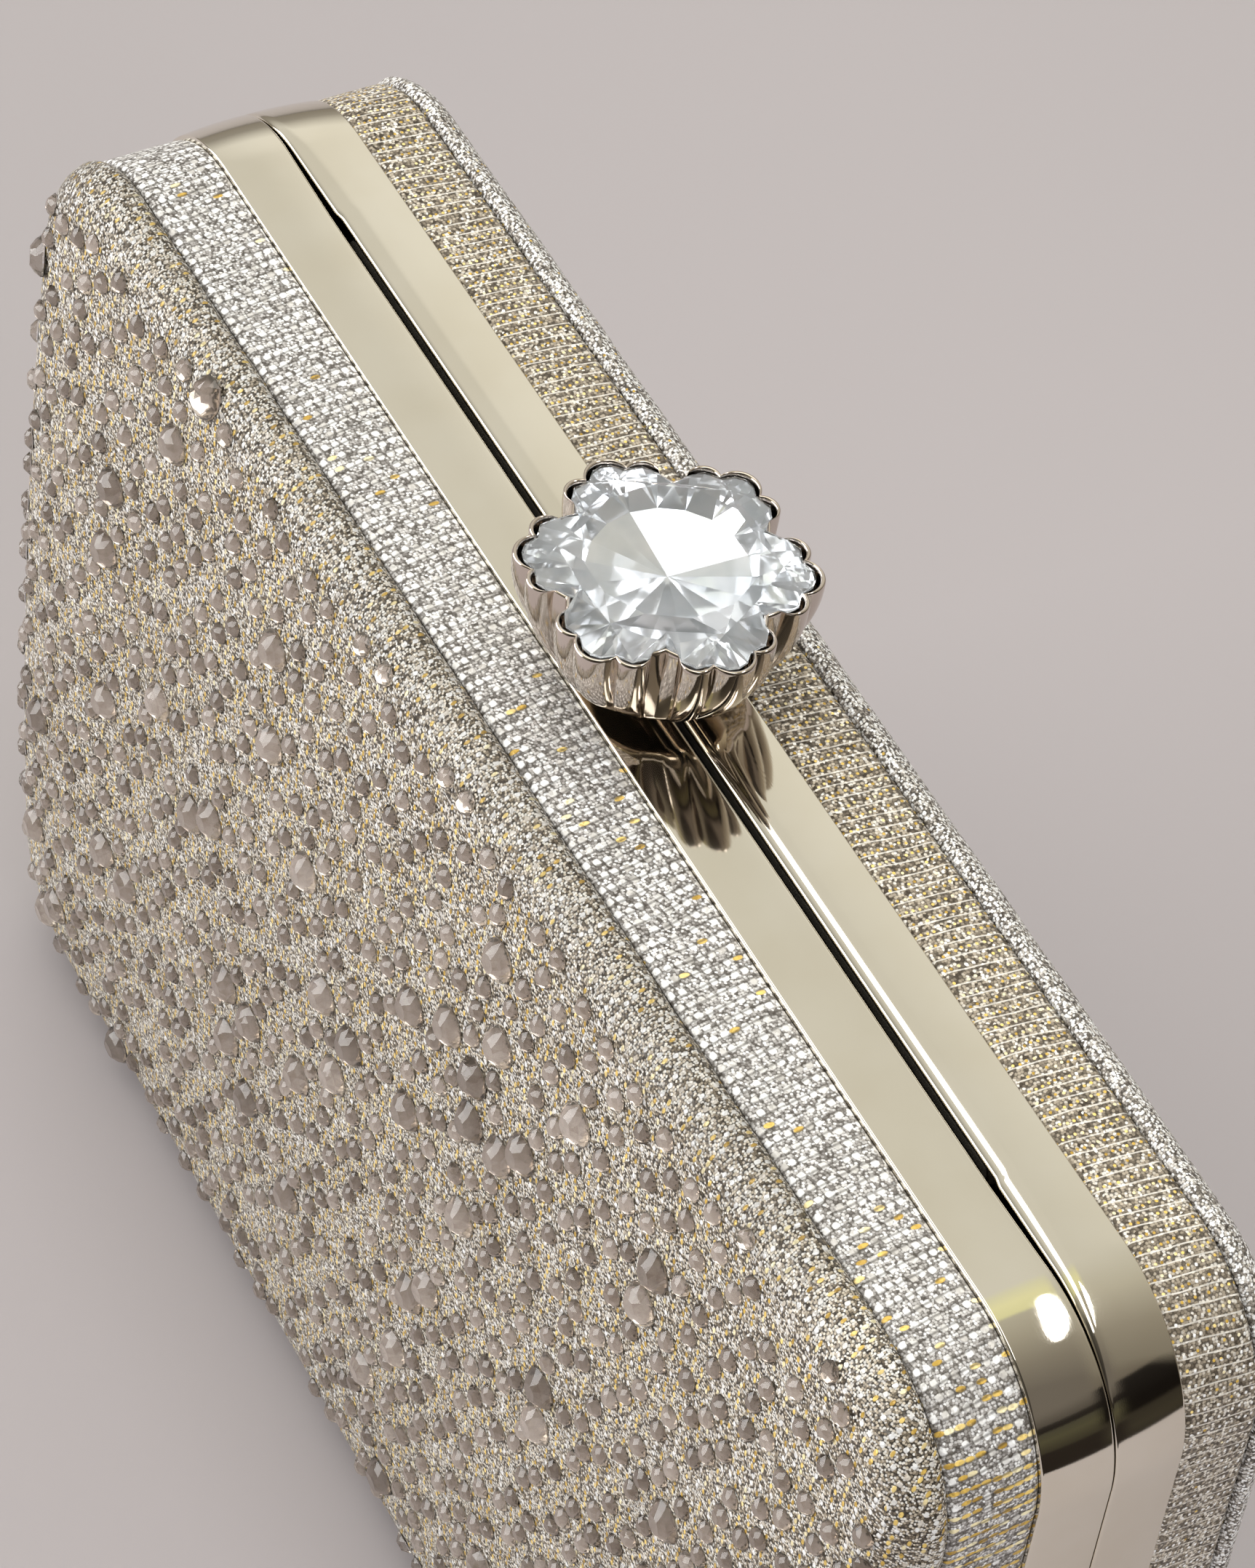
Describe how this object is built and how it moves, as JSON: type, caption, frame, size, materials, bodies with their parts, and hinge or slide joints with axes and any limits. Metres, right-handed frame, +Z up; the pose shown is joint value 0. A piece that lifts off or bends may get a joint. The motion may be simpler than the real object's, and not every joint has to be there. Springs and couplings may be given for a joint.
{
  "type": "minaudiere",
  "caption": "Hard box clutch with a polished two-part metal frame, glitter fabric sides, a crystal-set front, a base hinge and a flower push clasp on top.",
  "frame": {"origin": "middle of the base, half way between the front-most and the rear-most point, at the height that the bands stand on", "axes": "+X along the case's length, the crystal front faces -Y, +Z up through the clasp"},
  "size_m": [0.178, 0.0451, 0.1357],
  "materials": {
    "frame": "pale gold plated, mirror polish",
    "fabric": "silver and pale gold glitter knit",
    "padded_panel": "silver and pale gold glitter knit over foam",
    "crystals": "smoky grey cut crystal, foiled behind",
    "shell": "moulded",
    "board": "stiff fibre board",
    "lining": "satin",
    "felt": "black felt",
    "hardware": "plated steel",
    "bezel": "pale rose gold plated, polished",
    "stem": "pale gold plated",
    "flower_glass": "clear cut crystal",
    "seat": "silvered"
  },
  "bodies": {
    "front_half": {"front_shell": "shell", "front_frame": "frame", "front_side_wrap": "fabric", "front_panel_board": "board", "front_panel": "padded_panel", "front_lining_wall": "lining", "front_lining_board": "lining", "large_crystals": "crystals", "small_crystals": "crystals", "edge_felt": "felt", "catch_plate": "hardware", "catch_rivets": "hardware", "front_hinge_leaf": "stem", "front_hinge_rivets": "hardware", "hinge_pin": "hardware"},
    "rear_half": {"rear_shell": "shell", "rear_frame": "frame", "rear_side_wrap": "fabric", "rear_panel_board": "board", "rear_panel": "padded_panel", "rear_lining_wall": "lining", "rear_lining_board": "lining", "slip_pocket": "lining", "rear_hinge_leaf": "stem", "rear_hinge_rivets": "hardware", "clasp_bush": "stem", "clasp_bracket": "hardware", "clasp_rivets": "hardware", "latch_pivot_pin": "hardware", "return_spring": "hardware"},
    "clasp_button": {"clasp_stem": "stem", "stem_clip": "hardware", "flower_bezel": "bezel", "crystal_seat": "seat", "flower_crystal": "flower_glass"},
    "latch": {"latch_hook": "hardware"}
  },
  "joints": [
    {"name": "case_hinge", "type": "hinge", "parent": "front_half", "child": "rear_half", "pos_m": [0, 0.00273, 0.0026], "axis": [-1, 0, 0], "range_deg": [0, 58]},
    {"name": "button_press", "type": "slide", "parent": "rear_half", "child": "clasp_button", "axis": [0, 0, -1], "range_m": [0, 0.0015], "stiffness_N_per_m": 800, "springref_m": -0.0008, "deforming": ["return_spring"]},
    {"name": "latch_turn", "type": "hinge", "parent": "rear_half", "child": "latch", "pos_m": [0, 0.01093, 0.1124], "axis": [1, 0, 0], "range_deg": [0, 17]}
  ],
  "couplings": [
    {"joint": "latch_turn", "follows": "button_press", "rad_per_m": 184}
  ]
}
